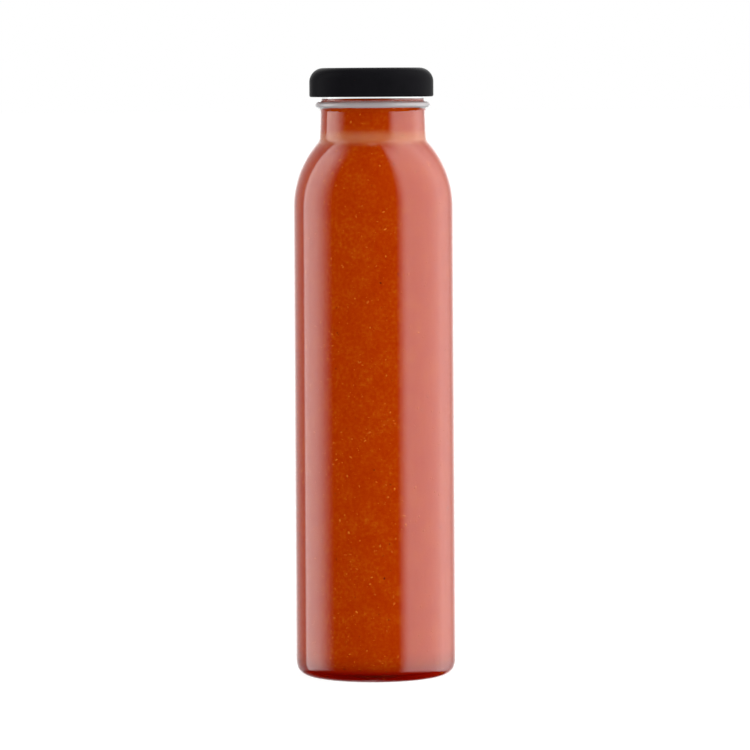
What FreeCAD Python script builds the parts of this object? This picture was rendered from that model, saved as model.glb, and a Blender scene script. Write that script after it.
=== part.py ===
import FreeCAD, Part
import math
import os

# A slim clear glass sauce bottle with a black steel twist-off lid, filled with sauce.
# Millimetres. The bottle stands on its bearing ring at z = 0, with its axis on Z.

# Overall sizes
TOTAL_HEIGHT = 199.7
BODY_RADIUS = 26.35         # at the heel, where the side is widest
BODY_TOP_RADIUS = 26.15     # where the side meets the shoulder
LID_RADIUS = 20.35
LID_HEIGHT = 9.5

# Glass, outside
BASE_LAND_INNER = 20.9      # the flat bearing ring that touches the table
BASE_LAND_OUTER = 22.4
PUSH_UP = 2.4               # the base's dome above the table, at the axis
HEEL_RADIUS = 3.75          # lower arc of the heel
HEEL_EASE_RADIUS = 7.3      # slower arc that eases the heel into the side
SHOULDER_START = 154.0
SHOULDER_RADIUS = 32.25
NECK_FOOT_RADIUS = 17.4     # the neck where it meets the shoulder
NECK_TOP_RADIUS = 17.0      # the neck just under the transfer ring
RING_HEIGHT = 187.6         # where the ring stands out farthest
RING_RADIUS = 18.85
RING_BEND = 1.0
FINISH_RADIUS = 16.9        # the wall that carries the thread
CREASE_FILLET = 2.2
RING_FOOT_FILLET = 1.8
RING_TOP_FILLET = 0.6
RIM_ROUND = 1.2

# Glass, inside
SIDE_WALL = 2.3             # just under the shoulder
BORE_RADIUS = 14.4
BORE_BOTTOM = 184.0
BORE_ROUND = 0.9
NECK_WALL = 2.5
FLOOR_CROWN = 4.8           # height of the inner floor at the axis
FLOOR_EDGE = 2.9            # height of the inner floor where the inner heel starts
INNER_HEEL_RADIUS = 7.0
INNER_NECK_FILLET = 4.0

# Thread: four short ridges, each a tilted piece of a ring
THREADS = 4
THREAD_SECTION_RADIUS = 0.95
THREAD_CENTRE_RADIUS = 17.35
THREAD_CENTRE_HEIGHT = 194.1
THREAD_SPAN = 62.0          # degrees of turn
THREAD_TILT = 4.0           # degrees of slope
THREAD_PAST_LUG = 7.0       # degrees that a ridge's middle has passed the lug under it

# Lid
SHEET = 0.3
LID_CORNER_RADIUS = 4.6
LID_PANEL_STEP = 0.4        # the middle of the panel lies this much lower
LID_PANEL_RADIUS = 11.6
LID_STEP_WIDTH = 1.0
HEM_RADIUS = 0.6            # half the height of the rolled edge
HEM_INNER_RADIUS = 19.15
LUG_REACH = 17.35           # how far in the lugs reach, as a radius
LUG_HEIGHT = 0.8
LUG_SPAN = 22.0             # degrees of turn

# Sauce
SAUCE_LEVEL = 189.2         # just above the ring

RIM_HEIGHT = TOTAL_HEIGHT - SHEET
HEM_HEIGHT = TOTAL_HEIGHT - LID_HEIGHT
UP = FreeCAD.Vector(0, 0, 1)


def vec(radius, height):
    """A point of a half section, on the XZ plane."""
    return FreeCAD.Vector(radius, 0, height)


class Outline:
    """A half section drawn edge by edge, which is then turned about the Z axis."""

    def __init__(self, radius, height):
        self.first = self.last = vec(radius, height)
        self.edges = []

    def line(self, radius, height):
        """A straight run to a point."""
        end = vec(radius, height)
        self.edges.append(Part.LineSegment(self.last, end).toShape())
        self.last = end
        return self

    def arc(self, radius, height, bend):
        """An arc of radius abs(bend) to a point. It bulges to the right of the way that it
        runs when bend is positive, and to the left when it is negative."""
        end = vec(radius, height)
        chord = end - self.last
        half = chord.Length / 2
        rise = abs(bend) - math.sqrt(max(bend * bend - half * half, 0.0))
        right = FreeCAD.Vector(chord.z, 0, -chord.x).normalize()
        middle = (self.last + end) * 0.5 + right * math.copysign(rise, bend)
        self.edges.append(Part.Arc(self.last, middle, end).toShape())
        self.last = end
        return self

    def turned(self, degrees=360):
        """The closed outline turned about the Z axis into a solid."""
        self.line(self.first.x, self.first.z)
        face = Part.Face(Part.Wire(self.edges))
        return face.revolve(FreeCAD.Vector(0, 0, 0), UP, degrees)


def dome_bend(radius, rise):
    """The radius of an arc that climbs by rise from its edge at radius to the axis."""
    return (radius * radius + rise * rise) / (2 * rise)


def arc_height(arc_radius, centre_radius, radius):
    """How far above its centre an arc is where it has come in to radius."""
    return math.sqrt(arc_radius ** 2 - (radius - centre_radius) ** 2)


def blend(centre, radius, wall_low, wall_high, fillet, above):
    """Where a hollow fillet touches a bulge, an arc about centre, and a wall, a line that runs
    up. The fillet's own centre is fillet outside both: on the wall's parallel, at radius plus
    fillet from the bulge's centre, above or below it."""
    along = (wall_high - wall_low).normalize()
    outward = vec(along.z, -along.x)
    start = wall_low + outward * fillet - centre
    drop = start.dot(along)
    reach = math.sqrt(drop * drop - start.dot(start) + (radius + fillet) ** 2)
    own = start + along * (reach - drop if above else -reach - drop)
    on_bulge = centre + own * (radius / (radius + fillet))
    on_wall = centre + own - outward * fillet
    return on_bulge, on_wall


def heel_points():
    """Where the heel's two arcs start, join and end, from the land up to the side. The
    lower arc leaves the land level, and the slower one meets the side upright."""
    width = BODY_RADIUS - BASE_LAND_OUTER
    turn = math.acos((HEEL_EASE_RADIUS - width) / (HEEL_EASE_RADIUS - HEEL_RADIUS))
    join_radius = BASE_LAND_OUTER + HEEL_RADIUS * math.cos(turn)
    join_height = HEEL_RADIUS * (1 - math.sin(turn))
    top = HEEL_RADIUS + (HEEL_EASE_RADIUS - HEEL_RADIUS) * math.sin(turn)
    return (join_radius, join_height), (BODY_RADIUS, top)


def shoulder_end():
    """The height at which the shoulder's arc has come in to the neck."""
    centre = BODY_TOP_RADIUS - SHOULDER_RADIUS
    return SHOULDER_START + arc_height(SHOULDER_RADIUS, centre, NECK_FOOT_RADIUS)


def outer_glass():
    """The bottle as if it were solid: base, heel, side, shoulder, neck, ring and finish."""
    heel_join, heel_top = heel_points()
    shoulder_centre = vec(BODY_TOP_RADIUS - SHOULDER_RADIUS, SHOULDER_START)
    neck_low = vec(NECK_FOOT_RADIUS, shoulder_end())
    neck_high = vec(NECK_TOP_RADIUS, RING_HEIGHT)
    finish_low = vec(FINISH_RADIUS, RING_HEIGHT)
    finish_high = vec(FINISH_RADIUS, RIM_HEIGHT)
    ring_centre = vec(RING_RADIUS - RING_BEND, RING_HEIGHT)
    crease = blend(shoulder_centre, SHOULDER_RADIUS, neck_low, neck_high, CREASE_FILLET, True)
    under = blend(ring_centre, RING_BEND, neck_low, neck_high, RING_FOOT_FILLET, False)
    over = blend(ring_centre, RING_BEND, finish_low, finish_high, RING_TOP_FILLET, True)
    outline = Outline(0, 0)
    outline.line(BASE_LAND_OUTER, 0)
    outline.arc(*heel_join, HEEL_RADIUS)
    outline.arc(*heel_top, HEEL_EASE_RADIUS)
    outline.line(BODY_TOP_RADIUS, SHOULDER_START)
    outline.arc(crease[0].x, crease[0].z, SHOULDER_RADIUS)
    outline.arc(crease[1].x, crease[1].z, -CREASE_FILLET)
    outline.line(under[1].x, under[1].z)
    outline.arc(under[0].x, under[0].z, -RING_FOOT_FILLET)
    outline.arc(RING_RADIUS, RING_HEIGHT, RING_BEND)
    outline.arc(over[0].x, over[0].z, RING_BEND)
    outline.arc(over[1].x, over[1].z, -RING_TOP_FILLET)
    outline.line(FINISH_RADIUS, RIM_HEIGHT - RIM_ROUND)
    outline.arc(FINISH_RADIUS - RIM_ROUND, RIM_HEIGHT, RIM_ROUND)
    outline.line(0, RIM_HEIGHT)
    return outline.turned()


def push_up():
    """The dished hollow under the base, inside the bearing ring."""
    outline = Outline(0, 0)
    outline.line(BASE_LAND_INNER, 0)
    outline.arc(0, PUSH_UP, dome_bend(BASE_LAND_INNER, PUSH_UP))
    return outline.turned()


def inside(level):
    """The space inside the glass, from its floor up to a level: the inner walls follow the
    outer ones, with a softer heel, and a rounder turn from the shoulder to the neck. A space
    that runs up to the rim flares there into the rim's inner round."""
    side = BODY_TOP_RADIUS - SIDE_WALL
    neck_foot = NECK_FOOT_RADIUS - NECK_WALL
    arc_radius = SHOULDER_RADIUS - SIDE_WALL
    centre = vec(side - arc_radius, SHOULDER_START)
    neck_low = vec(neck_foot, SHOULDER_START + arc_height(arc_radius, centre.x, neck_foot))
    neck_high = vec(BORE_RADIUS, BORE_BOTTOM)
    turn = blend(centre, arc_radius, neck_low, neck_high, INNER_NECK_FILLET, True)
    floor_radius = side - INNER_HEEL_RADIUS
    outline = Outline(0, FLOOR_CROWN)
    outline.arc(floor_radius, FLOOR_EDGE, -dome_bend(floor_radius, FLOOR_CROWN - FLOOR_EDGE))
    outline.arc(side, FLOOR_EDGE + INNER_HEEL_RADIUS, INNER_HEEL_RADIUS)
    outline.line(side, SHOULDER_START)
    outline.arc(turn[0].x, turn[0].z, arc_radius)
    outline.arc(turn[1].x, turn[1].z, -INNER_NECK_FILLET)
    outline.line(BORE_RADIUS, BORE_BOTTOM)
    if level == RIM_HEIGHT:
        outline.line(BORE_RADIUS, level - BORE_ROUND)
        outline.arc(BORE_RADIUS + BORE_ROUND, level, -BORE_ROUND)
    else:
        outline.line(BORE_RADIUS, level)
    outline.line(0, level)
    return outline.turned()


def thread(number):
    """One ridge of the thread: a piece of a ring of round section, half sunk in the wall and
    tilted about the radius through its middle."""
    middle = vec(THREAD_CENTRE_RADIUS, THREAD_CENTRE_HEIGHT)
    circle = Part.makeCircle(THREAD_SECTION_RADIUS, middle, FreeCAD.Vector(0, 1, 0))
    ridge = Part.Face(Part.Wire(circle)).revolve(FreeCAD.Vector(0, 0, 0), UP, THREAD_SPAN)
    ridge.rotate(FreeCAD.Vector(0, 0, 0), UP, -THREAD_SPAN / 2)
    ridge.rotate(middle, FreeCAD.Vector(1, 0, 0), THREAD_TILT)
    ridge.rotate(FreeCAD.Vector(0, 0, 0), UP, 360.0 / THREADS * number + THREAD_PAST_LUG)
    return ridge


def bottle():
    """The glass: the outer form with its thread, less the push-up and the inside."""
    glass = outer_glass().fuse([thread(n) for n in range(THREADS)])
    return glass.cut([push_up(), inside(RIM_HEIGHT)])


def sauce():
    """The sauce: all of the inside up to its level."""
    return inside(SAUCE_LEVEL)


def lid_shell():
    """The lid's pressed sheet: panel with a lower middle, round corner, skirt, rolled hem."""
    flat = LID_RADIUS - LID_CORNER_RADIUS
    skirt_top = TOTAL_HEIGHT - LID_CORNER_RADIUS
    hem_middle = HEM_HEIGHT + HEM_RADIUS
    hem_roll = dome_bend((LID_RADIUS - HEM_INNER_RADIUS) / 2, HEM_RADIUS)
    step_end = LID_PANEL_RADIUS + LID_STEP_WIDTH
    outline = Outline(0, TOTAL_HEIGHT - LID_PANEL_STEP - SHEET)
    outline.line(LID_PANEL_RADIUS, TOTAL_HEIGHT - LID_PANEL_STEP - SHEET)
    outline.line(step_end, TOTAL_HEIGHT - SHEET)
    outline.line(flat, TOTAL_HEIGHT - SHEET)
    outline.arc(LID_RADIUS - SHEET, skirt_top, SHEET - LID_CORNER_RADIUS)
    outline.line(LID_RADIUS - SHEET, hem_middle + 2 * HEM_RADIUS)
    outline.line(HEM_INNER_RADIUS, hem_middle + HEM_RADIUS)
    outline.line(HEM_INNER_RADIUS, hem_middle)
    outline.arc((HEM_INNER_RADIUS + LID_RADIUS) / 2, HEM_HEIGHT, hem_roll)
    outline.arc(LID_RADIUS, hem_middle, hem_roll)
    outline.line(LID_RADIUS, skirt_top)
    outline.arc(flat, TOTAL_HEIGHT, LID_CORNER_RADIUS)
    outline.line(step_end, TOTAL_HEIGHT)
    outline.line(LID_PANEL_RADIUS, TOTAL_HEIGHT - LID_PANEL_STEP)
    outline.line(0, TOTAL_HEIGHT - LID_PANEL_STEP)
    return outline.turned()


def lug(number):
    """One inward fold of the hem, which catches under a ridge of the thread."""
    root = HEM_INNER_RADIUS + HEM_RADIUS
    bottom = HEM_HEIGHT + HEM_RADIUS / 2
    section = Outline(LUG_REACH, bottom)
    section.line(root, bottom)
    section.line(root, bottom + LUG_HEIGHT)
    section.line(LUG_REACH, bottom + LUG_HEIGHT)
    tab = section.turned(LUG_SPAN)
    tab.rotate(FreeCAD.Vector(0, 0, 0), UP, 360.0 / THREADS * number - LUG_SPAN / 2)
    return tab


def lid():
    """The lid: its sheet with a lug for each ridge of the thread."""
    shell = lid_shell().fuse([lug(n) for n in range(THREADS)])
    return shell.removeSplitter()


os.makedirs("parts", exist_ok=True)
for name, make in (("bottle", bottle), ("sauce", sauce), ("lid", lid)):
    shape = make()
    millilitres = shape.Volume / 1000
    print(name, "solids", len(shape.Solids), "valid", shape.isValid(), "ml %.2f" % millilitres)
    shape.Solids[0].exportStep("parts/" + name + ".step")
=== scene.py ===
import math

import bpy
import numpy as np
from mathutils import Matrix, Vector


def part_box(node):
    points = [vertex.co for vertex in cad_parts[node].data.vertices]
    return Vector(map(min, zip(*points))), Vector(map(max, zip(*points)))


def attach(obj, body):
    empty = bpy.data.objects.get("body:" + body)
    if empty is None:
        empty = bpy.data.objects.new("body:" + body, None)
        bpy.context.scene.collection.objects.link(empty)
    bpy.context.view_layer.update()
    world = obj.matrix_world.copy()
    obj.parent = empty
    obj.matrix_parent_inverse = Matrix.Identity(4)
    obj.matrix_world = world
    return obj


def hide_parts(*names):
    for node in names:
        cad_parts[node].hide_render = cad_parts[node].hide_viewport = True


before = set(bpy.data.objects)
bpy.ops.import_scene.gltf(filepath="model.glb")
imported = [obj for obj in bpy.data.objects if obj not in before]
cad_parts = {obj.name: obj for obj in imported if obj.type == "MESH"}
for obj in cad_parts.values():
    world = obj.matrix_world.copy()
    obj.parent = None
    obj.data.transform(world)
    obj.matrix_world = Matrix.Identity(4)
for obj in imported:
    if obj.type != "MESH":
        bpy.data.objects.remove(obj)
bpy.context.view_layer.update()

MM = 0.001
TURN = 2 * math.pi

# Sizes in metres. The outer ones come from the frame, the others are the glass-maker's own.
BODY_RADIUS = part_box("bottle")[1].x
RIM_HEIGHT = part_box("bottle")[1].z
LID_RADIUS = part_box("lid")[1].x
HEM_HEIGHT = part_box("lid")[0].z
TOTAL_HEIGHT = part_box("lid")[1].z
SAUCE_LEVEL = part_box("sauce")[1].z

# Glass, outside
LAND_INNER = 20.9 * MM
LAND_OUTER = 22.4 * MM
PUSH_UP = 2.4 * MM
HEEL_RADIUS = 3.75 * MM
HEEL_EASE_RADIUS = 7.3 * MM
SHOULDER_START = 154.0 * MM
BODY_TOP_RADIUS = 26.15 * MM
SHOULDER_RADIUS = 32.25 * MM
NECK_FOOT_RADIUS = 17.4 * MM
NECK_TOP_RADIUS = 17.0 * MM
RING_HEIGHT = 187.6 * MM
RING_RADIUS = 18.85 * MM
RING_BEND = 1.0 * MM
FINISH_RADIUS = 16.9 * MM
CREASE_FILLET = 2.2 * MM
RING_FOOT_FILLET = 1.8 * MM
RING_TOP_FILLET = 0.6 * MM
RIM_ROUND = 1.2 * MM

# Glass, inside
SIDE_WALL = BODY_TOP_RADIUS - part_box("sauce")[1].x
BORE_RADIUS = 14.4 * MM
BORE_BOTTOM = 184.0 * MM
BORE_ROUND = 0.9 * MM
NECK_WALL = 2.5 * MM
FLOOR_CROWN = 4.8 * MM
FLOOR_EDGE = 2.9 * MM
INNER_HEEL_RADIUS = 7.0 * MM
INNER_NECK_FILLET = 4.0 * MM

# Thread, mould seam and the knurled ring that the bottle stands on
THREADS = 4
THREAD_SECTION = 0.95 * MM
THREAD_CENTRE_RADIUS = 17.35 * MM
THREAD_HEIGHT = 194.1 * MM
THREAD_HALF_SPAN = math.radians(31.0)
THREAD_TILT = math.radians(4.0)
THREAD_PAST_LUG = math.radians(7.0)
THREAD_FULL_SHARE = 0.92    # a ridge runs out past this share of its half span
THREAD_ZONE_EASE = 1.5 * MM
SEAM_PROUD = 0.04 * MM
SEAM_HALF_WIDTH = 0.25 * MM
SEAM_FOOT = 3 * MM
SEAM_FULL = 8 * MM
SEAM_FADE = 2 * MM          # the seam starts to fade this far below the transfer ring's middle
THREAD_FADE = 2 * MM        # the thread starts to fade this far below the rim
KNURLS = 72
KNURL_DEPTH = 0.14 * MM
KNURL_FULL_WIDTH = 0.6 * MM
KNURL_END_WIDTH = 2.0 * MM
KNURL_ZONE = 1.5 * MM       # the knurls stay below this height

# Finish of the glass: the ring carries a painted reflection, a pale silver-grey in place of the light
# that the clear ring bends and reflects, and the neck's foot is rougher and carries a painted warm
# highlight band. Each pair is where a finish starts and where it is full, from the axis, the crease
# or the ring.
CREASE_HEIGHT = 176.9 * MM
OUTSIDE_EDGE = (16.3 * MM, 16.7 * MM)
CREASE_BAND_REACH = (3.2 * MM, 0.2 * MM)
HAZE_ROUGHNESS = 0.22
CREASE_HIGHLIGHT_SHARE = 0.13
RING_PAINT_BELOW = (-1.15 * MM, -0.75 * MM)
RING_PAINT_ABOVE = (1.8 * MM, 0.8 * MM)
RING_PAINT_SHARE = 0.74

# How finely the pieces are divided
POLE_RING = 1.0 * MM        # the radius of the first ring of points round a pole
GLASS_COLUMNS = 336
SEAM_COLUMNS = 9
SEAM_SPREAD = 1.6           # the close columns reach this many half widths of the seam
CLOSEST_GAP = 0.4           # an even column nearer to them, in even columns' gaps, is left out
COLUMNS = 256
FLOOR_STEPS = 10

# Lid
SHEET = 0.3 * MM
LID_CORNER_RADIUS = 4.6 * MM
PANEL_STEP = 0.4 * MM
PANEL_RADIUS = 11.6 * MM
STEP_WIDTH = 1.0 * MM
HEM_RADIUS = 0.6 * MM
HEM_INNER_RADIUS = 19.15 * MM
LUG_REACH = 17.35 * MM
LUG_HALF_SPAN = math.radians(13.0)
LUG_FULL_SHARE = 0.5        # of its half span
LID_ASIDE = -0.4 * MM       # the lid sits this much to one side on its thread

# Sauce
INTO_WALL = 0.15 * MM       # the sauce reaches this far into the glass, so that no gap shows
MENISCUS = 0.45 * MM
MENISCUS_REACH = 1.1 * MM
HEEL_SHADE = (5.0 * MM, 2.4 * MM)    # the heights where the painted shade, a deeper red, starts and is full

# Grains in the sauce
GRAIN_THICKEST = 0.08 * MM
GRAIN_SKEW = 2.2            # past 1 it makes small grains the common ones
GRAIN_POINTED = 1.2         # past 1 it draws a grain's ends to points
GRAIN_WOBBLE = (0.8, 1.2)   # each point of a grain is moved in or out by a factor from this range
GRAIN_BELOW_LEVEL = 1.0 * MM
GRAIN_AROUND = 7            # points in a ring of a grain
GRAIN_ALONG = 4             # rings along a grain

# Camera and background
CAMERA_DISTANCE = 1.42
CAMERA_HEIGHT = 0.194
AIM_ASIDE = 0.00024
AIM_HEIGHT = 0.0988
LENS = 207.5
ROLL = math.radians(0.34)
SENSOR_WIDTH = 36.0
CLIP = (0.1, 100.0)
FLOOR_HALF = 30.0
PAPER_GLOW = 1.1
PAPER_GLOW_SHARE = 0.8

# Studio light. Azimuths are in degrees round the bottle, 0 towards the eye and up to the right,
# and heights in degrees above level. Each pair is where a light starts and where it is full, or
# where it starts to fall and where it has fallen by its fade.
RIGHT_NEAR = (32, 52)
RIGHT_FAR = (112, 146)
RIGHT_FADE = 0.74
RIGHT_FOOT = (-30, -22)
RIGHT_HEAD = (56, 82)
LEFT_NEAR = (60, 97)
LEFT_FAR = (118, 124)
LEFT_FADE = 0.85
LEFT_FOOT = (-25, -18)
LEFT_HEAD = (40, 66)
CORNER = (126, 156)
BACKDROP = (150, 172)
CEILING = (76, 84)
SEEN_BANKS = 3.2
SEEN_CORNER = 0.28
SEEN_BACKDROP = 0.6
SEEN_CEILING = 1.7
CAST_RIGHT = 1.5
CAST_LEFT = 0.25
CAST_CORNER = 0.7
CAST_ALL_ROUND = 0.97


# ---------------------------------------------------------------- shapes

class Walk:
    """A half section walked from point to point, as pairs of radius and height."""

    def __init__(self, radius, height):
        self.points = [np.array([[radius, height]])]
        self.last = np.array([radius, height], float)

    def line(self, radius, height, steps):
        """A straight run to a point: an even mix of its two ends."""
        end = np.array([radius, height], float)
        mix = np.linspace(0, 1, steps + 1)[1:, None]
        self.points.append(self.last * (1 - mix) + end * mix)
        self.last = end
        return self

    def arc(self, radius, height, bend, steps):
        """An arc of radius abs(bend) to a point, bulging to the right of the way that it runs
        for a positive bend: its centre is on the chord's upright through the middle, and the
        points are that centre plus the radius turned through equal angles."""
        end = np.array([radius, height], float)
        chord = end - self.last
        half = np.hypot(*chord) / 2
        right = np.array([chord[1], -chord[0]]) / (2 * half)
        back = math.sqrt(max(bend * bend - half * half, 0.0)) * math.copysign(1, bend)
        centre = (self.last + end) / 2 - right * back
        spoke = self.last - centre
        swing = 2 * math.asin(min(half / abs(bend), 1.0)) * math.copysign(1, bend)
        angle = np.linspace(0, swing, steps + 1)[1:, None]
        across = np.array([-spoke[1], spoke[0]])
        self.points.append(centre + spoke * np.cos(angle) + across * np.sin(angle))
        self.last = end
        return self

    def rows(self):
        """All the points, one row each."""
        return np.concatenate(self.points)


def dome_bend(radius, rise):
    """The radius of an arc that climbs by rise from its edge at radius to the axis."""
    return (radius * radius + rise * rise) / (2 * rise)


def arc_height(arc_radius, centre_radius, radius):
    """How far above its centre an arc is where it has come in to radius."""
    return math.sqrt(arc_radius ** 2 - (radius - centre_radius) ** 2)


def fillet_ends(centre, radius, wall_low, wall_high, fillet, above):
    """Where a hollow fillet touches a bulge, an arc about centre, and a wall, a line that runs
    up. The fillet's own centre is fillet outside both: on the wall's parallel, at radius plus
    fillet from the bulge's centre, above or below it."""
    centre, wall_low, wall_high = (np.array(p, float) for p in (centre, wall_low, wall_high))
    along = (wall_high - wall_low) / np.hypot(*(wall_high - wall_low))
    outward = np.array([along[1], -along[0]])
    start = wall_low + outward * fillet - centre
    drop = start @ along
    reach = math.sqrt(drop * drop - start @ start + (radius + fillet) ** 2)
    own = start + along * (reach - drop if above else -reach - drop)
    return centre + own * (radius / (radius + fillet)), centre + own - outward * fillet


def smooth(low, high, value):
    """0 below low, 1 above high, and the cubic 3t^2 - 2t^3 between them."""
    t = np.clip((value - low) / (high - low), 0, 1)
    return t * t * (3 - 2 * t)


def turned(radius, height, angle):
    """A surface of revolution: each point is its radius turned by its angle about the Z axis,
    at its height. The three arrays are spread to one grid of rows by columns."""
    radius, height, angle = np.broadcast_arrays(radius, height, angle)
    return np.stack([radius * np.cos(angle), radius * np.sin(angle), height], axis=-1)


def skin(name, grid, material, first_pole, last_pole):
    """A mesh over a grid of points whose columns close into rings: one quad between each pair
    of neighbouring rows and columns, and a fan of triangles from the first and the last row to
    a pole on the axis, at the height that is given."""
    rows, columns, _ = grid.shape
    index = np.arange(rows * columns).reshape(rows, columns)
    after = np.roll(index, -1, axis=1)
    quads = np.stack([index[:-1], after[:-1], after[1:], index[1:]], axis=-1).reshape(-1, 4)
    first, last = (np.full(columns, rows * columns + pole) for pole in (0, 1))
    first_fan = np.stack([first, after[0], index[0]], axis=-1)
    last_fan = np.stack([index[-1], after[-1], last], axis=-1)
    points = np.concatenate([grid.reshape(-1, 3), [[0, 0, first_pole], [0, 0, last_pole]]])
    mesh = bpy.data.meshes.new(name)
    mesh.from_pydata(points.tolist(), [], quads.tolist() + first_fan.tolist() + last_fan.tolist())
    return piece(name, mesh, material)


def piece(name, mesh, material):
    """A finished piece: smooth faces, its material, and an object at the origin."""
    mesh.polygons.foreach_set("use_smooth", np.ones(len(mesh.polygons), bool))
    mesh.materials.append(material)
    mesh.update()
    made = bpy.data.objects.new(name, mesh)
    bpy.context.scene.collection.objects.link(made)
    return made


# ---------------------------------------------------------------- materials

class Value:
    """A socket that can be added, subtracted, multiplied and negated like a number."""

    def __init__(self, maker, socket):
        self.maker = maker
        self.socket = socket

    def math(self, operation, *inputs):
        """A Math node on these values."""
        return self.maker.node("ShaderNodeMath", {"operation": operation}, dict(enumerate(inputs)))

    def __add__(self, other):
        return self.math("ADD", self, other)

    def __sub__(self, other):
        return self.math("SUBTRACT", self, other)

    def __rsub__(self, other):
        return self.math("SUBTRACT", other, self)

    def __mul__(self, other):
        return self.math("MULTIPLY", self, other)

    def __neg__(self):
        return self * -1.0

    __radd__ = __add__
    __rmul__ = __mul__

    def most(self, other):
        """The larger of two values."""
        return self.math("MAXIMUM", self, other)

    def step(self, low, high, kind="SMOOTHSTEP"):
        """0 at low and 1 at high, eased between them; low may be the larger of the two."""
        settings = {"interpolation_type": kind}
        return self.maker.node(
            "ShaderNodeMapRange", settings, {"Value": self, "From Min": low, "From Max": high}
        )


class Maker:
    """Makes the nodes of one material, or of the world."""

    def __init__(self, owner):
        owner.use_nodes = True
        self.tree = owner.node_tree
        self.tree.nodes.clear()

    def node(self, kind, settings=None, inputs=None, output=0):
        """A node of a type: its settings first, then its sockets' values or links."""
        made = self.tree.nodes.new(kind)
        for name, value in (settings or {}).items():
            if name == "stops":
                ramp = made.color_ramp
                while len(ramp.elements) < len(value):
                    ramp.elements.new(0.5)
                for element, (place, colour) in zip(ramp.elements, value):
                    element.position = place
                    element.color = colour
            else:
                setattr(made, name, value)
        for name, value in (inputs or {}).items():
            if isinstance(value, Value):
                self.tree.links.new(value.socket, made.inputs[name])
            else:
                made.inputs[name].default_value = value
        return Value(self, made.outputs[output])

    def mix(self, factor, low, high):
        """A colour between two colours."""
        sockets = {0: factor, 6: low, 7: high}
        return self.node("ShaderNodeMix", {"data_type": "RGBA"}, sockets, output=2)

    def place(self):
        """Object coordinates, in metres."""
        return self.node("ShaderNodeTexCoord", output="Object")

    def noise(self, scale, detail=2.0, roughness=0.5):
        """Noise between about 0 and 1, with scale features in a metre."""
        sockets = {
            "Vector": self.place(),
            "Scale": scale,
            "Detail": detail,
            "Roughness": roughness,
        }
        return self.node("ShaderNodeTexNoise", {}, sockets)

    def shader(self, **inputs):
        """A Principled shader; underscores in the names stand for spaces."""
        sockets = {name.replace("_", " "): value for name, value in inputs.items()}
        return self.node("ShaderNodeBsdfPrincipled", {}, sockets)

    def blend(self, factor, low, high):
        """A Mix Shader."""
        return self.node("ShaderNodeMixShader", {}, {0: factor, 1: low, 2: high})

    def light_path(self, name):
        """Whether a ray is of one kind."""
        return self.node("ShaderNodeLightPath", output=name)

    def finish(self, shader, kind="ShaderNodeOutputMaterial"):
        """Joins a shader to the output."""
        out = self.tree.nodes.new(kind)
        self.tree.links.new(shader.socket, out.inputs["Surface"])


def srgb(red, green, blue):
    """A colour given as it shows on a screen, 0 to 255, as the four numbers that a socket takes."""
    part = np.array([red, green, blue]) / 255.0
    line = np.where(part <= 0.04045, part / 12.92, ((part + 0.055) / 1.055) ** 2.4)
    return (*(float(x) for x in line), 1.0)


def new_material(name):
    """A material and the maker of its nodes."""
    material = bpy.data.materials.new(name)
    return material, Maker(material)


def clear_glass():
    """Clear flint glass. Its transfer ring carries a painted reflection: a pale silver-grey coat in
    place of the light that the clear ring bends and reflects. The foot of the neck is rougher and
    carries a painted warm highlight band. Light from the studio passes straight through to the sauce,
    while the eye and the reflections see real glass with its faint unevenness."""
    material, make = new_material("clear_glass")
    ripple = make.noise(70.0, detail=1.0)
    normal = make.node(
        "ShaderNodeBump", {}, {"Strength": 0.04, "Distance": 0.2 * MM, "Height": ripple}
    )
    place = make.place()
    height = make.node("ShaderNodeSeparateXYZ", {}, {0: place}, output=2)
    flat = make.node("ShaderNodeVectorMath", {"operation": "MULTIPLY"}, {0: place, 1: (1, 1, 0)})
    across = make.node("ShaderNodeVectorMath", {"operation": "LENGTH"}, {0: flat}, output="Value")
    outside = across.step(*OUTSIDE_EDGE)
    from_crease = height.math("ABSOLUTE", height - CREASE_HEIGHT)
    near_crease = from_crease.step(*CREASE_BAND_REACH) * outside
    glass = make.shader(
        Base_Color=(0.985, 0.995, 0.99, 1.0),
        Roughness=near_crease * HAZE_ROUGHNESS,
        IOR=1.5,
        Transmission_Weight=1.0,
        Normal=normal,
    )
    # painted reflection: an opaque silver-grey for the ring, standing in for the light that the clear
    # glass bends and reflects
    ring_reflection_paint = make.shader(Base_Color=(0.37, 0.415, 0.43, 1.0), Roughness=0.25, IOR=1.6)
    # painted highlight: a warm orange coat for the band at the neck's foot, standing in for light
    # that the concave crease reflects
    crease_highlight_paint = make.shader(Base_Color=(0.90, 0.62, 0.28, 1.0), Roughness=0.3, IOR=1.5)
    over_ring = height - RING_HEIGHT
    on_ring = over_ring.step(*RING_PAINT_BELOW) * over_ring.step(*RING_PAINT_ABOVE)
    glass = make.blend(on_ring * outside * RING_PAINT_SHARE, glass, ring_reflection_paint)
    glass = make.blend(near_crease * CREASE_HIGHLIGHT_SHARE, glass, crease_highlight_paint)
    open_air = make.node("ShaderNodeBsdfTransparent", {}, {"Color": (0.96, 0.97, 0.965, 1.0)})
    lit = make.blend(make.light_path("Is Shadow Ray"), glass, open_air)
    make.finish(make.blend(make.light_path("Is Diffuse Ray"), lit, open_air))
    return material


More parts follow.
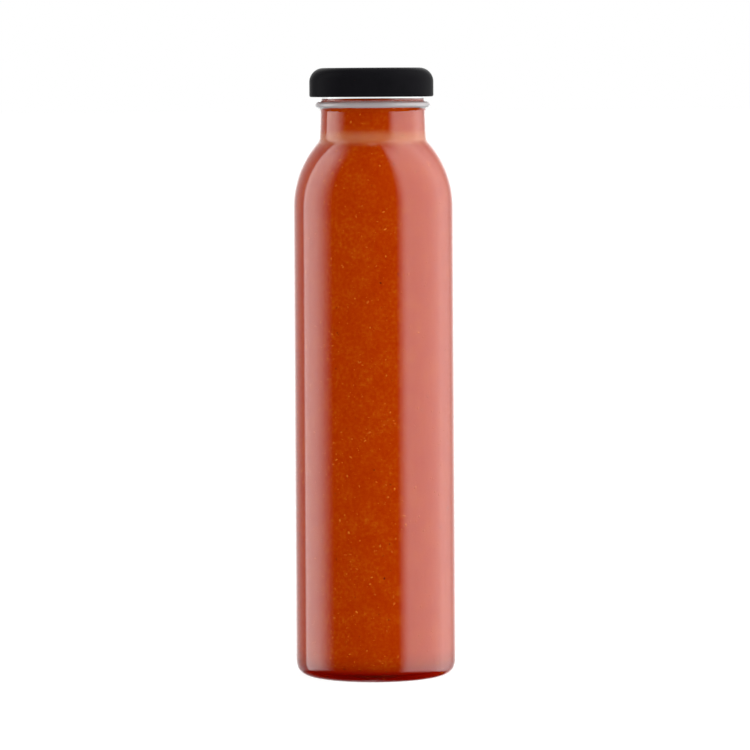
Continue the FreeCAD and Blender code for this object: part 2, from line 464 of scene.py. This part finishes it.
def sauce_finish():
    """Cooked tomato sauce: orange-red, mottled by fine pulp, with painted shade: a deeper red towards
    the heel.
    """
    material, make = new_material("tomato_sauce")
    cloud = make.noise(160.0, detail=2.0)
    pulp = make.noise(900.0, detail=3.0, roughness=0.6)
    tone = (pulp - 0.5) * 1.1 + (cloud - 0.5) * 0.6 + 0.5
    colour = make.node(
        "ShaderNodeValToRGB",
        {
            "stops": [
                (0.15, srgb(159, 40, 0)),
                (0.50, srgb(166, 51, 1)),
                (0.72, srgb(171, 63, 4)),
                (0.90, srgb(182, 85, 12)),
            ]
        },
        {"Fac": tone},
    )
    rise = make.node("ShaderNodeSeparateXYZ", {}, {0: make.place()}, output=2)
    # painted shade: below these heights the sauce turns a deeper red, standing in for the little
    # light that reaches it from below
    low = rise.step(*HEEL_SHADE)
    colour = make.mix(low, colour, srgb(176, 5, 0))
    bump = make.node("ShaderNodeBump", {}, {"Strength": 0.18, "Distance": 0.2 * MM, "Height": pulp})
    sauce = make.shader(Base_Color=colour, Roughness=0.4, IOR=1.03, Normal=bump)
    make.finish(sauce)
    return material


def fleck_finish(name, dark, pale):
    """Bits of pulp or spice: each fleck's own tint runs between two colours."""
    material, make = new_material(name)
    tint = make.node("ShaderNodeAttribute", {"attribute_name": "tint"}, output="Fac")
    grain = make.noise(2500.0)
    shade = make.mix(tint * 0.7 + grain * 0.3, dark, pale)
    make.finish(make.shader(Base_Color=shade, Roughness=0.5, IOR=1.12))
    return material


def lacquer_finish():
    """Satin black lacquer on pressed steel, with the faint orange-peel of a baked coat, and
    the pale lacquer of the inside."""
    material, make = new_material("black_lacquer")
    peel = make.noise(900.0, detail=2.0)
    rub = make.noise(260.0, detail=4.0, roughness=0.65)
    normal = make.node("ShaderNodeBump", {}, {"Strength": 0.06, "Distance": 0.1 * MM, "Height": peel})
    roughness = (rub - 0.5) * 0.12 + 0.32
    black = make.mix(rub, srgb(15, 15, 17), srgb(21, 20, 23))
    inner = make.node("ShaderNodeAttribute", {"attribute_name": "inner"}, output="Fac")
    colour = make.mix(inner, black, srgb(205, 203, 200))
    make.finish(make.shader(Base_Color=colour, Roughness=roughness, IOR=1.05, Normal=normal))
    return material


# ---------------------------------------------------------------- glass bottle

def outer_profile():
    """The half section of the glass outside, from the base's middle to the top of the rim. The
    heel is two arcs: the tight one leaves the land level and ends where its slope is that of
    the wide one, which ends upright at the body's full radius."""
    width = BODY_RADIUS - LAND_OUTER
    turn = math.acos((HEEL_EASE_RADIUS - width) / (HEEL_EASE_RADIUS - HEEL_RADIUS))
    heel_join = (LAND_OUTER + HEEL_RADIUS * math.cos(turn), HEEL_RADIUS * (1 - math.sin(turn)))
    heel_top = HEEL_RADIUS + (HEEL_EASE_RADIUS - HEEL_RADIUS) * math.sin(turn)
    shoulder_centre = (BODY_TOP_RADIUS - SHOULDER_RADIUS, SHOULDER_START)
    foot = SHOULDER_START + arc_height(SHOULDER_RADIUS, shoulder_centre[0], NECK_FOOT_RADIUS)
    neck = (NECK_FOOT_RADIUS, foot), (NECK_TOP_RADIUS, RING_HEIGHT)
    finish = (FINISH_RADIUS, RING_HEIGHT), (FINISH_RADIUS, RIM_HEIGHT)
    ring_centre = (RING_RADIUS - RING_BEND, RING_HEIGHT)
    crease = fillet_ends(shoulder_centre, SHOULDER_RADIUS, *neck, CREASE_FILLET, True)
    under = fillet_ends(ring_centre, RING_BEND, *neck, RING_FOOT_FILLET, False)
    over = fillet_ends(ring_centre, RING_BEND, *finish, RING_TOP_FILLET, True)
    walk = Walk(POLE_RING, PUSH_UP)
    walk.arc(LAND_INNER, 0.0, -dome_bend(LAND_INNER, PUSH_UP), 12)
    walk.line(LAND_OUTER, 0.0, 4)
    walk.arc(*heel_join, HEEL_RADIUS, 10)
    walk.arc(BODY_RADIUS, heel_top, HEEL_EASE_RADIUS, 4)
    walk.line(BODY_TOP_RADIUS, SHOULDER_START, 34)
    walk.arc(*crease[0], SHOULDER_RADIUS, 24)
    walk.arc(*crease[1], -CREASE_FILLET, 6)
    walk.line(*under[1], 8)
    walk.arc(*under[0], -RING_FOOT_FILLET, 5)
    walk.arc(RING_RADIUS, ring_centre[1], RING_BEND, 6)
    walk.arc(*over[0], RING_BEND, 6)
    walk.arc(*over[1], -RING_TOP_FILLET, 4)
    walk.line(FINISH_RADIUS, RIM_HEIGHT - RIM_ROUND, 46)
    walk.arc(FINISH_RADIUS - RIM_ROUND, RIM_HEIGHT, RIM_ROUND, 5)
    return walk.rows()


def inner_walk(grow=0.0):
    """The half section of the space inside, from its floor's middle up to the neck, pushed
    out into the glass by grow."""
    side = BODY_TOP_RADIUS - SIDE_WALL + grow
    neck_foot = NECK_FOOT_RADIUS - NECK_WALL + grow
    arc_radius = SHOULDER_RADIUS - SIDE_WALL + grow
    centre = (side - arc_radius, SHOULDER_START)
    neck_low = (neck_foot, SHOULDER_START + arc_height(arc_radius, centre[0], neck_foot))
    neck_high = (BORE_RADIUS + grow, BORE_BOTTOM)
    fillet = INNER_NECK_FILLET - grow
    turn = fillet_ends(centre, arc_radius, neck_low, neck_high, fillet, True)
    heel = INNER_HEEL_RADIUS + grow
    floor_radius = side - heel
    floor_edge = FLOOR_EDGE - grow
    crown = FLOOR_CROWN - grow
    walk = Walk(POLE_RING, crown)
    floor_bend = dome_bend(floor_radius, crown - floor_edge)
    walk.arc(floor_radius, floor_edge, -floor_bend, FLOOR_STEPS)
    walk.arc(side, floor_edge + heel, heel, 12)
    walk.line(side, SHOULDER_START, 30)
    walk.arc(*turn[0], arc_radius, 18)
    walk.arc(*turn[1], -fillet, 8)
    walk.line(*neck_high, 4)
    return walk


def column_angles(count):
    """Angles round the bottle: even columns, with a close-set group over each mould seam."""
    even = np.arange(count) * TURN / count
    near = np.linspace(-SEAM_SPREAD, SEAM_SPREAD, SEAM_COLUMNS) * SEAM_HALF_WIDTH / BODY_RADIUS
    close = np.concatenate([near, near + TURN / 2]) % TURN
    gap = np.abs((even[:, None] - close[None] + TURN / 2) % TURN - TURN / 2).min(axis=1)
    return np.sort(np.concatenate([even[gap > CLOSEST_GAP * TURN / count], close]))


def mark(made, name, values):
    """Gives a piece's points a number each, for its material to read."""
    attribute = made.data.attributes.new(name, "FLOAT", "POINT")
    attribute.data.foreach_set("value", np.asarray(values, np.float32))


def from_angle(angle, middle):
    """How far an angle is past a middle, between minus and plus half a turn."""
    return (angle - middle + TURN / 2) % TURN - TURN / 2


def thread_rise(height, angle):
    """How proud the thread stands: four ridges of round section, each a half span of turn to
    both sides, climbing with the sine of the angle, and run out smoothly at the ends."""
    rise = np.zeros(np.broadcast(height, angle).shape)
    for number in range(THREADS):
        past = from_angle(angle, TURN / THREADS * number + THREAD_PAST_LUG)
        middle = THREAD_HEIGHT + THREAD_CENTRE_RADIUS * np.sin(past) * math.sin(THREAD_TILT)
        section = np.clip(THREAD_SECTION ** 2 - (height - middle) ** 2, 0, None)
        proud = THREAD_CENTRE_RADIUS + np.sqrt(section) - FINISH_RADIUS
        ends = 1 - smooth(THREAD_HALF_SPAN * THREAD_FULL_SHARE, THREAD_HALF_SPAN, np.abs(past))
        rise = np.maximum(rise, np.where(section > 0, proud, 0) * ends)
    return rise


def make_bottle():
    """The glass as one closed shell: its outside, with the thread, the two mould seams and the
    knurled land, then over the rim and down its inside. The seams stand proud of the rest of
    the side by a smooth bump of the distance round, and the knurls are a cosine of the angle."""
    outside = outer_profile()
    inside = inner_walk()
    inside.line(BORE_RADIUS, RIM_HEIGHT - BORE_ROUND, 8)
    inside.arc(BORE_RADIUS + BORE_ROUND, RIM_HEIGHT, -BORE_ROUND, 5)
    angle = column_angles(GLASS_COLUMNS)[None]
    radius, height = outside[:, :1], outside[:, 1:]
    ring_top = RING_HEIGHT + RING_BEND
    on_finish = smooth(ring_top, ring_top + THREAD_ZONE_EASE, height)
    on_finish = on_finish * (1 - smooth(RIM_HEIGHT - THREAD_FADE, RIM_HEIGHT - RIM_ROUND, height))
    rise = thread_rise(height, angle) * on_finish
    seam = np.minimum(np.abs(from_angle(angle, 0)), np.abs(from_angle(angle, TURN / 2)))
    ridge = 1 - smooth(0, SEAM_HALF_WIDTH, seam * radius)
    along = smooth(SEAM_FOOT, SEAM_FULL, height)
    along = along * (1 - smooth(RING_HEIGHT - SEAM_FADE, ring_top, height))
    rise = rise + SEAM_PROUD * ridge * along - SEAM_PROUD
    rise = np.where(height < SEAM_FOOT, 0.0, rise)
    middle = (LAND_INNER + LAND_OUTER) / 2
    on_land = 1 - smooth(KNURL_FULL_WIDTH, KNURL_END_WIDTH, np.abs(radius - middle))
    on_land = on_land * (height < KNURL_ZONE)
    groove = KNURL_DEPTH * (0.5 - 0.5 * np.cos(KNURLS * angle)) * on_land
    outer = turned(radius + rise, height + groove, angle)
    inner_rows = inside.rows()[::-1]
    inner = turned(inner_rows[:, :1], inner_rows[:, 1:], angle)
    glass = skin("bottle_glass", np.concatenate([outer, inner]), clear_glass(), PUSH_UP, FLOOR_CROWN)
    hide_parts("bottle")
    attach(glass, "root")


# ---------------------------------------------------------------- sauce

def make_sauce():
    """The sauce: the space inside, grown a little into the glass, up to a level top that
    climbs near the wall by an exponential of the distance from it."""
    walk = inner_walk(INTO_WALL)
    wall = BORE_RADIUS + INTO_WALL
    walk.line(wall, SAUCE_LEVEL + MENISCUS, 8)
    side = walk.rows()
    inward = np.linspace(1, 0, 25)[1:-1] * wall
    rise = MENISCUS * np.exp((inward - wall) / MENISCUS_REACH)
    top = np.stack([inward, SAUCE_LEVEL + rise], axis=-1)
    rows = np.concatenate([side, top])
    angle = np.arange(COLUMNS)[None] * TURN / COLUMNS
    grid = turned(rows[:, :1], rows[:, 1:], angle)
    sauce = skin("sauce_fill", grid, sauce_finish(), FLOOR_CROWN - INTO_WALL, SAUCE_LEVEL)
    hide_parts("sauce")
    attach(sauce, "root")


def fleck_shape(around, along):
    """A flattened, pointed grain of unit size: a ball's latitude rings, squeezed towards the
    ends. Returns its points and its triangles."""
    lift = np.linspace(-math.pi / 2, math.pi / 2, along + 2)[1:-1]
    turn = np.arange(around) * TURN / around
    ring = np.cos(lift)[:, None] ** GRAIN_POINTED
    points = np.stack(
        [
            np.broadcast_to(np.sin(lift)[:, None], (along, around)),
            ring * np.cos(turn),
            ring * np.sin(turn),
        ],
        axis=-1,
    ).reshape(-1, 3)
    points = np.concatenate([points, [[-1, 0, 0], [1, 0, 0]]])
    index = np.arange(along * around).reshape(along, around)
    after = np.roll(index, -1, axis=1)
    low, high = along * around, along * around + 1
    faces = [
        np.stack([index[:-1], after[:-1], after[1:]], axis=-1).reshape(-1, 3),
        np.stack([index[:-1], after[1:], index[1:]], axis=-1).reshape(-1, 3),
        np.stack([np.full(around, low), after[0], index[0]], axis=-1),
        np.stack([index[-1], after[-1], np.full(around, high)], axis=-1),
    ]
    return points, np.concatenate(faces)


def make_flecks(name, count, length, slimness, seed, material):
    """Small grains set in the sauce's skin, where it meets the glass. A place is a random
    length along the side's half section, weighted by its radius, and a random angle; a grain
    lies in the skin's own plane, turned at random, and shows half of its small thickness."""
    pick = np.random.default_rng(seed)
    walk = inner_walk(INTO_WALL)
    walk.line(BORE_RADIUS + INTO_WALL, SAUCE_LEVEL - GRAIN_BELOW_LEVEL, 4)
    rows = walk.rows()
    run = np.hypot(*np.diff(rows, axis=0).T) * (rows[1:, 0] + rows[:-1, 0])
    run[:FLOOR_STEPS] = 0       # none on the inner floor, which can't be seen
    total = np.concatenate([[0], np.cumsum(run)])
    at = pick.uniform(0, total[-1], count)
    step = np.searchsorted(total, at, side="right") - 1
    part = ((at - total[step]) / run[step])[:, None]
    spot = rows[step] * (1 - part) + rows[step + 1] * part
    slope = rows[step + 1] - rows[step]
    slope = slope / np.hypot(*slope.T)[:, None]
    angle = pick.uniform(0, TURN, count)
    cos, sin = np.cos(angle), np.sin(angle)
    centre = np.stack([spot[:, 0] * cos, spot[:, 0] * sin, spot[:, 1]], axis=-1)
    outward = np.stack([slope[:, 1] * cos, slope[:, 1] * sin, -slope[:, 0]], axis=-1)
    level = np.stack([-sin, cos, np.zeros(count)], axis=-1)
    upward = np.cross(outward, level)
    spin = pick.uniform(0, math.pi, count)[:, None]
    long_way = level * np.cos(spin) + upward * np.sin(spin)
    wide_way = np.cross(outward, long_way)
    share = pick.uniform(0, 1, count) ** GRAIN_SKEW
    size = length[0] * (length[1] / length[0]) ** share
    width = size * pick.uniform(*slimness, count)
    thick = np.minimum(width / 2, GRAIN_THICKEST)
    shape, faces = fleck_shape(GRAIN_AROUND, GRAIN_ALONG)
    wobble = pick.uniform(*GRAIN_WOBBLE, (count, len(shape), 1))
    grains = (
        centre[:, None]
        + (shape[None, :, :1] * wobble) * (long_way * size[:, None] / 2)[:, None]
        + (shape[None, :, 1:2] * wobble) * (wide_way * width[:, None] / 2)[:, None]
        + shape[None, :, 2:] * (outward * thick[:, None] / 2)[:, None]
    )
    joined = (faces[None] + len(shape) * np.arange(count)[:, None, None]).reshape(-1, 3)
    mesh = bpy.data.meshes.new(name)
    mesh.from_pydata(grains.reshape(-1, 3).tolist(), [], joined.tolist())
    flecks = piece(name, mesh, material)
    mark(flecks, "tint", np.repeat(pick.uniform(0, 1, count), len(shape)))
    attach(flecks, "root")


# ---------------------------------------------------------------- lid

def lid_profile():
    """The half section of the lid's sheet, from the underside's middle, out and round the
    rolled hem, and up over the corner to the top's middle. Returns the rows, how much of each
    lug's reach a row takes, and which rows are on the inside."""
    flat = LID_RADIUS - LID_CORNER_RADIUS
    skirt_top = TOTAL_HEIGHT - LID_CORNER_RADIUS
    hem_middle = HEM_HEIGHT + HEM_RADIUS
    hem_roll = dome_bend((LID_RADIUS - HEM_INNER_RADIUS) / 2, HEM_RADIUS)
    step_end = PANEL_RADIUS + STEP_WIDTH
    ceiling = TOTAL_HEIGHT - SHEET
    walk = Walk(POLE_RING, ceiling - PANEL_STEP)
    walk.line(PANEL_RADIUS, ceiling - PANEL_STEP, 4)
    walk.line(step_end, ceiling, 4)
    walk.line(flat, ceiling, 2)
    walk.arc(LID_RADIUS - SHEET, skirt_top, SHEET - LID_CORNER_RADIUS, 10)
    walk.line(LID_RADIUS - SHEET, hem_middle + 2 * HEM_RADIUS, 6)
    walk.line(HEM_INNER_RADIUS, hem_middle + HEM_RADIUS, 4)
    inside_rows = len(walk.rows())
    walk.line(HEM_INNER_RADIUS, hem_middle, 4)
    walk.arc((HEM_INNER_RADIUS + LID_RADIUS) / 2, HEM_HEIGHT, hem_roll, 6)
    walk.arc(LID_RADIUS, hem_middle, hem_roll, 6)
    walk.line(LID_RADIUS, skirt_top, 10)
    walk.arc(flat, TOTAL_HEIGHT, LID_CORNER_RADIUS, 20)
    walk.line(step_end, TOTAL_HEIGHT, 6)
    for part in np.linspace(0, 1, 9)[1:]:
        drop = PANEL_STEP * smooth(0, 1, part)
        walk.line(step_end - STEP_WIDTH * part, TOTAL_HEIGHT - drop, 1)
    walk.line(POLE_RING, TOTAL_HEIGHT - PANEL_STEP, 6)
    rows = walk.rows()
    on_hem = 1 - smooth(HEM_INNER_RADIUS, HEM_INNER_RADIUS + HEM_RADIUS, rows[:, 0])
    on_hem = on_hem * (rows[:, 1] < hem_middle + 1.5 * HEM_RADIUS)
    inner = np.arange(len(rows)) < inside_rows
    return rows, on_hem, inner


def make_lid():
    """The pressed steel lid, with its hem pushed in to a lug under each ridge of the thread:
    the hem's inner side moves in by a smooth bump of the angle. It all sits a little aside."""
    rows, on_hem, inner = lid_profile()
    angle = np.arange(COLUMNS)[None] * TURN / COLUMNS
    lug = np.zeros_like(angle)
    for number in range(THREADS):
        past = np.abs(from_angle(angle, TURN / THREADS * number))
        lug = np.maximum(lug, 1 - smooth(LUG_HALF_SPAN * LUG_FULL_SHARE, LUG_HALF_SPAN, past))
    reach = (HEM_INNER_RADIUS - LUG_REACH) * on_hem[:, None] * lug
    grid = turned(rows[:, :1] - reach, rows[:, 1:], angle)
    grid[..., 0] += LID_ASIDE
    low = TOTAL_HEIGHT - SHEET - PANEL_STEP
    lid = skin("twist_off_lid", grid, lacquer_finish(), low, TOTAL_HEIGHT - PANEL_STEP)
    mark(lid, "inner", np.concatenate([np.repeat(inner, angle.size), [1, 0]]))
    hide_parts("lid")
    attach(lid, "root")


# ---------------------------------------------------------------- studio

def make_floor():
    """A plain floor that the eye sees as white paper with the bottle's soft shadow."""
    material, make = new_material("white_paper")
    matt = make.node("ShaderNodeBsdfDiffuse", {}, {"Color": (0.8, 0.8, 0.8, 1.0)})
    glow = make.node("ShaderNodeEmission", {}, {"Strength": PAPER_GLOW})
    paper = make.blend(PAPER_GLOW_SHARE, matt, glow)
    make.finish(make.blend(make.light_path("Is Camera Ray"), matt, paper))
    mesh = bpy.data.meshes.new("floor")
    signs = [(-1, -1), (1, -1), (1, 1), (-1, 1)]
    corners = [(x * FLOOR_HALF, y * FLOOR_HALF, 0) for x, y in signs]
    mesh.from_pydata(corners, [], [(0, 1, 2, 3)])
    mesh.materials.append(material)
    floor = bpy.data.objects.new("floor", mesh)
    floor.visible_glossy = False
    bpy.context.scene.collection.objects.link(floor)


def studio_light():
    """A pale studio: a wide soft bank of light to the right and a narrower one to the left, a
    paler corner behind the left one, a backdrop behind the bottle and a ceiling light, with a
    dark room behind the eye. What glossy surfaces see is set apart from the even light that is
    cast, and the eye, straight on or through the glass, sees plain white."""
    world = bpy.data.worlds.new("studio")
    bpy.context.scene.world = world
    make = Maker(world)
    way = make.node("ShaderNodeTexCoord", output="Generated")
    split = make.node("ShaderNodeSeparateXYZ", {}, {0: way})
    x, y, z = (Value(make, split.socket.node.outputs[i]) for i in range(3))
    azimuth = x.math("ARCTAN2", x, -y) * math.degrees(1)
    height = z.math("ARCSINE", z) * math.degrees(1)
    right = azimuth.step(*RIGHT_NEAR) * (1 - azimuth.step(*RIGHT_FAR, "LINEAR") * RIGHT_FADE)
    left_side = -azimuth
    left = left_side.step(*LEFT_NEAR) * (1 - left_side.step(*LEFT_FAR) * LEFT_FADE)
    right = right * height.step(*RIGHT_FOOT) * (1 - height.step(*RIGHT_HEAD))
    left = left * height.step(*LEFT_FOOT) * (1 - height.step(*LEFT_HEAD))
    banks = right + left
    corner = left_side.step(*CORNER)
    behind = azimuth.math("ABSOLUTE", azimuth).step(*BACKDROP)
    above = height.step(*CEILING)
    seen = banks * SEEN_BANKS + corner * SEEN_CORNER + behind * SEEN_BACKDROP + above * SEEN_CEILING
    cast = right * CAST_RIGHT + left * CAST_LEFT + corner * CAST_CORNER + CAST_ALL_ROUND
    glossy = make.light_path("Is Glossy Ray")
    strength = cast * (1 - glossy) + seen * glossy
    straight = make.light_path("Is Camera Ray").most(make.light_path("Is Transmission Ray"))
    strength = strength * (1 - straight) + straight
    white = {"Color": (1.0, 1.0, 1.0, 1.0), "Strength": strength}
    make.finish(make.node("ShaderNodeBackground", {}, white), "ShaderNodeOutputWorld")


def make_camera():
    """The eye, level with the lid's foot, aimed at the middle of the bottle and a hair out of
    level."""
    data = bpy.data.cameras.new("camera")
    data.lens = LENS
    data.sensor_width = SENSOR_WIDTH
    data.clip_start, data.clip_end = CLIP
    camera = bpy.data.objects.new("camera", data)
    bpy.context.scene.collection.objects.link(camera)
    eye = Vector((AIM_ASIDE, -CAMERA_DISTANCE, CAMERA_HEIGHT))
    aim = Vector((AIM_ASIDE, 0, AIM_HEIGHT))
    turn = (aim - eye).to_track_quat("-Z", "Y").to_matrix().to_4x4()
    camera.matrix_world = Matrix.Translation(eye) @ turn @ Matrix.Rotation(-ROLL, 4, "Z")
    bpy.context.scene.camera = camera


make_camera()
make_bottle()
make_sauce()
pale = fleck_finish("pale_pulp", srgb(178, 62, 4), srgb(208, 108, 28))
spice = fleck_finish("dark_spice", srgb(60, 14, 2), srgb(120, 34, 2))
make_flecks("pulp_flecks", 2600, (0.25 * MM, 1.1 * MM), (0.35, 0.8), 11, pale)
make_flecks("spice_specks", 420, (0.2 * MM, 0.8 * MM), (0.4, 0.9), 23, spice)
make_lid()
make_floor()
studio_light()

bpy.context.scene.view_settings.view_transform = "Standard"
